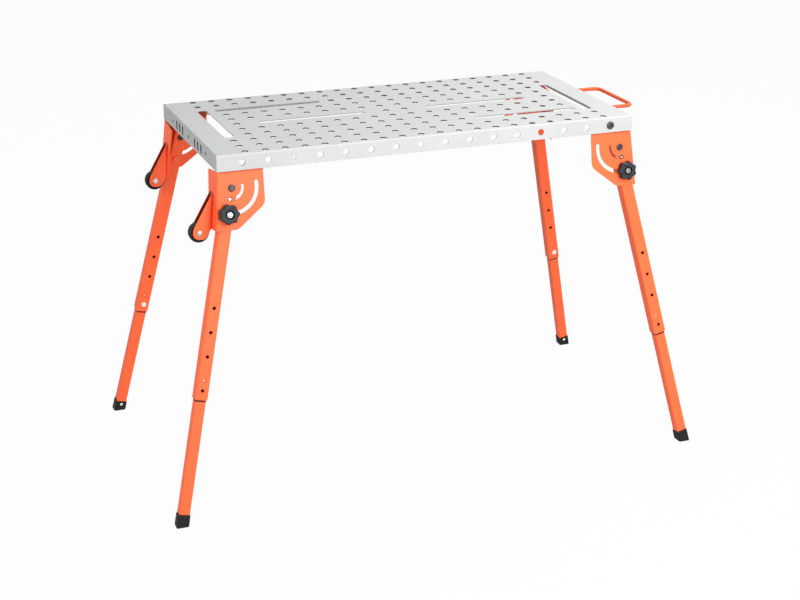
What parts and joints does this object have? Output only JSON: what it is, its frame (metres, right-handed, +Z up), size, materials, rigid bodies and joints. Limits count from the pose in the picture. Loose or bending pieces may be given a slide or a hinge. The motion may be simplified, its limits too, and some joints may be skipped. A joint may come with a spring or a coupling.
{
  "type": "folding welding table",
  "caption": "Perforated sheet-steel welding table top with clamp slots on folding telescopic splayed legs, with star knobs, transport wheels and a carrying handle.",
  "frame": {"origin": "on the floor, under the middle of the top", "axes": "+Z up, +X along the top to the handle end, -Y to the front"},
  "size_m": [1.4292, 0.7712, 0.8968],
  "materials": {
    "top_coat": "satin silver-grey coat on sheet steel",
    "orange_coat": "gloss orange-red powder coat",
    "button_coat": "light orange coat",
    "zinc": "bright zinc plate",
    "black_bolt": "black oxide",
    "knob_plastic": "moulded black plastic",
    "foot_plastic": "moulded black plastic",
    "wheel_plastic": "moulded black plastic"
  },
  "bodies": {
    "table": {"table_top": "top_coat", "pivot_bolts": "black_bolt", "pivot_nuts": "black_bolt", "apron_bolts": "black_bolt", "handle": "orange_coat", "handle_nuts": "zinc", "wheel_axles": "zinc", "wheel_fork_front": "orange_coat", "wheel_fork_back": "orange_coat", "bracket_fl": "orange_coat", "bracket_fr": "orange_coat", "bracket_bl": "orange_coat", "bracket_br": "orange_coat"},
    "leg_fl": {"leg_fl": "orange_coat", "knob_bolt_fl": "orange_coat", "lock_bolt_fl": "zinc"},
    "inner_leg_fl": {"inner_leg_fl": "orange_coat", "foot_fl": "foot_plastic", "foot_screw_fl": "zinc"},
    "knob_fl": {"knob_fl": "knob_plastic", "knob_insert_fl": "zinc"},
    "detent_pin_fl": {"detent_pin_fl": "zinc"},
    "snap_out_fl": {"snap_out_fl": "button_coat"},
    "snap_in_fl": {"snap_in_fl": "button_coat"},
    "leg_fr": {"leg_fr": "orange_coat", "knob_bolt_fr": "orange_coat", "lock_bolt_fr": "zinc"},
    "inner_leg_fr": {"inner_leg_fr": "orange_coat", "foot_fr": "foot_plastic", "foot_screw_fr": "zinc"},
    "knob_fr": {"knob_fr": "knob_plastic", "knob_insert_fr": "zinc"},
    "detent_pin_fr": {"detent_pin_fr": "zinc"},
    "snap_out_fr": {"snap_out_fr": "button_coat"},
    "snap_in_fr": {"snap_in_fr": "button_coat"},
    "leg_bl": {"leg_bl": "orange_coat", "knob_bolt_bl": "orange_coat", "lock_bolt_bl": "zinc"},
    "inner_leg_bl": {"inner_leg_bl": "orange_coat", "foot_bl": "foot_plastic", "foot_screw_bl": "zinc"},
    "knob_bl": {"knob_bl": "knob_plastic", "knob_insert_bl": "zinc"},
    "detent_pin_bl": {"detent_pin_bl": "zinc"},
    "snap_out_bl": {"snap_out_bl": "button_coat"},
    "snap_in_bl": {"snap_in_bl": "button_coat"},
    "leg_br": {"leg_br": "orange_coat", "knob_bolt_br": "orange_coat", "lock_bolt_br": "zinc"},
    "inner_leg_br": {"inner_leg_br": "orange_coat", "foot_br": "foot_plastic", "foot_screw_br": "zinc"},
    "knob_br": {"knob_br": "knob_plastic", "knob_insert_br": "zinc"},
    "detent_pin_br": {"detent_pin_br": "zinc"},
    "snap_out_br": {"snap_out_br": "button_coat"},
    "snap_in_br": {"snap_in_br": "button_coat"},
    "wheel_front": {"wheel_front": "wheel_plastic"},
    "wheel_back": {"wheel_back": "wheel_plastic"}
  },
  "joints": [
    {"name": "leg_fold_fl", "type": "hinge", "parent": "table", "child": "leg_fl", "pos_m": [-0.516, -0.26741, 0.81578], "axis": [0, -0.9895, 0.1444], "range_deg": [0, 105.5]},
    {"name": "leg_slide_fl", "type": "slide", "parent": "leg_fl", "child": "inner_leg_fl", "axis": [0.2164, 0.1409, 0.9661], "range_m": [0, 0.28]},
    {"name": "knob_turn_fl", "type": "hinge", "parent": "leg_fl", "child": "knob_fl", "pos_m": [-0.52942, -0.27614, 0.75589], "axis": [0, -0.9895, 0.1444], "range_deg": [0, 180]},
    {"name": "detent_press_fl", "type": "slide", "parent": "leg_fl", "child": "detent_pin_fl", "axis": [0, 0.9895, -0.1444], "range_m": [0, 0.005], "stiffness_N_per_m": 900},
    {"name": "snap_out_press_fl", "type": "slide", "parent": "inner_leg_fl", "child": "snap_out_fl", "axis": [0, 0.9895, -0.1444], "range_m": [0, 0.004], "stiffness_N_per_m": 900},
    {"name": "snap_in_press_fl", "type": "slide", "parent": "inner_leg_fl", "child": "snap_in_fl", "axis": [0, -0.9895, 0.1444], "range_m": [0, 0.004], "stiffness_N_per_m": 900},
    {"name": "leg_fold_fr", "type": "hinge", "parent": "table", "child": "leg_fr", "pos_m": [0.516, -0.26741, 0.81578], "axis": [0, 0.9895, -0.1444], "range_deg": [0, 99.5]},
    {"name": "leg_slide_fr", "type": "slide", "parent": "leg_fr", "child": "inner_leg_fr", "axis": [-0.2164, 0.1409, 0.9661], "range_m": [0, 0.28]},
    {"name": "knob_turn_fr", "type": "hinge", "parent": "leg_fr", "child": "knob_fr", "pos_m": [0.52942, -0.27614, 0.75589], "axis": [0, -0.9895, 0.1444], "range_deg": [0, 180]},
    {"name": "detent_press_fr", "type": "slide", "parent": "leg_fr", "child": "detent_pin_fr", "axis": [0, 0.9895, -0.1444], "range_m": [0, 0.005], "stiffness_N_per_m": 900},
    {"name": "snap_out_press_fr", "type": "slide", "parent": "inner_leg_fr", "child": "snap_out_fr", "axis": [0, 0.9895, -0.1444], "range_m": [0, 0.004], "stiffness_N_per_m": 900},
    {"name": "snap_in_press_fr", "type": "slide", "parent": "inner_leg_fr", "child": "snap_in_fr", "axis": [0, -0.9895, 0.1444], "range_m": [0, 0.004], "stiffness_N_per_m": 900},
    {"name": "leg_fold_bl", "type": "hinge", "parent": "table", "child": "leg_bl", "pos_m": [-0.516, 0.26741, 0.81578], "axis": [0, -0.9895, -0.1444], "range_deg": [0, 105.5]},
    {"name": "leg_slide_bl", "type": "slide", "parent": "leg_bl", "child": "inner_leg_bl", "axis": [0.2164, -0.1409, 0.9661], "range_m": [0, 0.28]},
    {"name": "knob_turn_bl", "type": "hinge", "parent": "leg_bl", "child": "knob_bl", "pos_m": [-0.52942, 0.27614, 0.75589], "axis": [0, 0.9895, 0.1444], "range_deg": [0, 180]},
    {"name": "detent_press_bl", "type": "slide", "parent": "leg_bl", "child": "detent_pin_bl", "axis": [0, -0.9895, -0.1444], "range_m": [0, 0.005], "stiffness_N_per_m": 900},
    {"name": "snap_out_press_bl", "type": "slide", "parent": "inner_leg_bl", "child": "snap_out_bl", "axis": [0, -0.9895, -0.1444], "range_m": [0, 0.004], "stiffness_N_per_m": 900},
    {"name": "snap_in_press_bl", "type": "slide", "parent": "inner_leg_bl", "child": "snap_in_bl", "axis": [0, 0.9895, 0.1444], "range_m": [0, 0.004], "stiffness_N_per_m": 900},
    {"name": "leg_fold_br", "type": "hinge", "parent": "table", "child": "leg_br", "pos_m": [0.516, 0.26741, 0.81578], "axis": [0, 0.9895, 0.1444], "range_deg": [0, 99.5]},
    {"name": "leg_slide_br", "type": "slide", "parent": "leg_br", "child": "inner_leg_br", "axis": [-0.2164, -0.1409, 0.9661], "range_m": [0, 0.28]},
    {"name": "knob_turn_br", "type": "hinge", "parent": "leg_br", "child": "knob_br", "pos_m": [0.52942, 0.27614, 0.75589], "axis": [0, 0.9895, 0.1444], "range_deg": [0, 180]},
    {"name": "detent_press_br", "type": "slide", "parent": "leg_br", "child": "detent_pin_br", "axis": [0, -0.9895, -0.1444], "range_m": [0, 0.005], "stiffness_N_per_m": 900},
    {"name": "snap_out_press_br", "type": "slide", "parent": "inner_leg_br", "child": "snap_out_br", "axis": [0, -0.9895, -0.1444], "range_m": [0, 0.004], "stiffness_N_per_m": 900},
    {"name": "snap_in_press_br", "type": "slide", "parent": "inner_leg_br", "child": "snap_in_br", "axis": [0, 0.9895, 0.1444], "range_m": [0, 0.004], "stiffness_N_per_m": 900},
    {"name": "wheel_spin_front", "type": "hinge", "parent": "table", "child": "wheel_front", "pos_m": [-0.59166, -0.23166, 0.70311], "axis": [-0.0114, -0.9999, 0], "continuous": true},
    {"name": "wheel_spin_back", "type": "hinge", "parent": "table", "child": "wheel_back", "pos_m": [-0.59166, 0.23166, 0.70311], "axis": [0.0114, -0.9999, 0], "continuous": true}
  ]
}
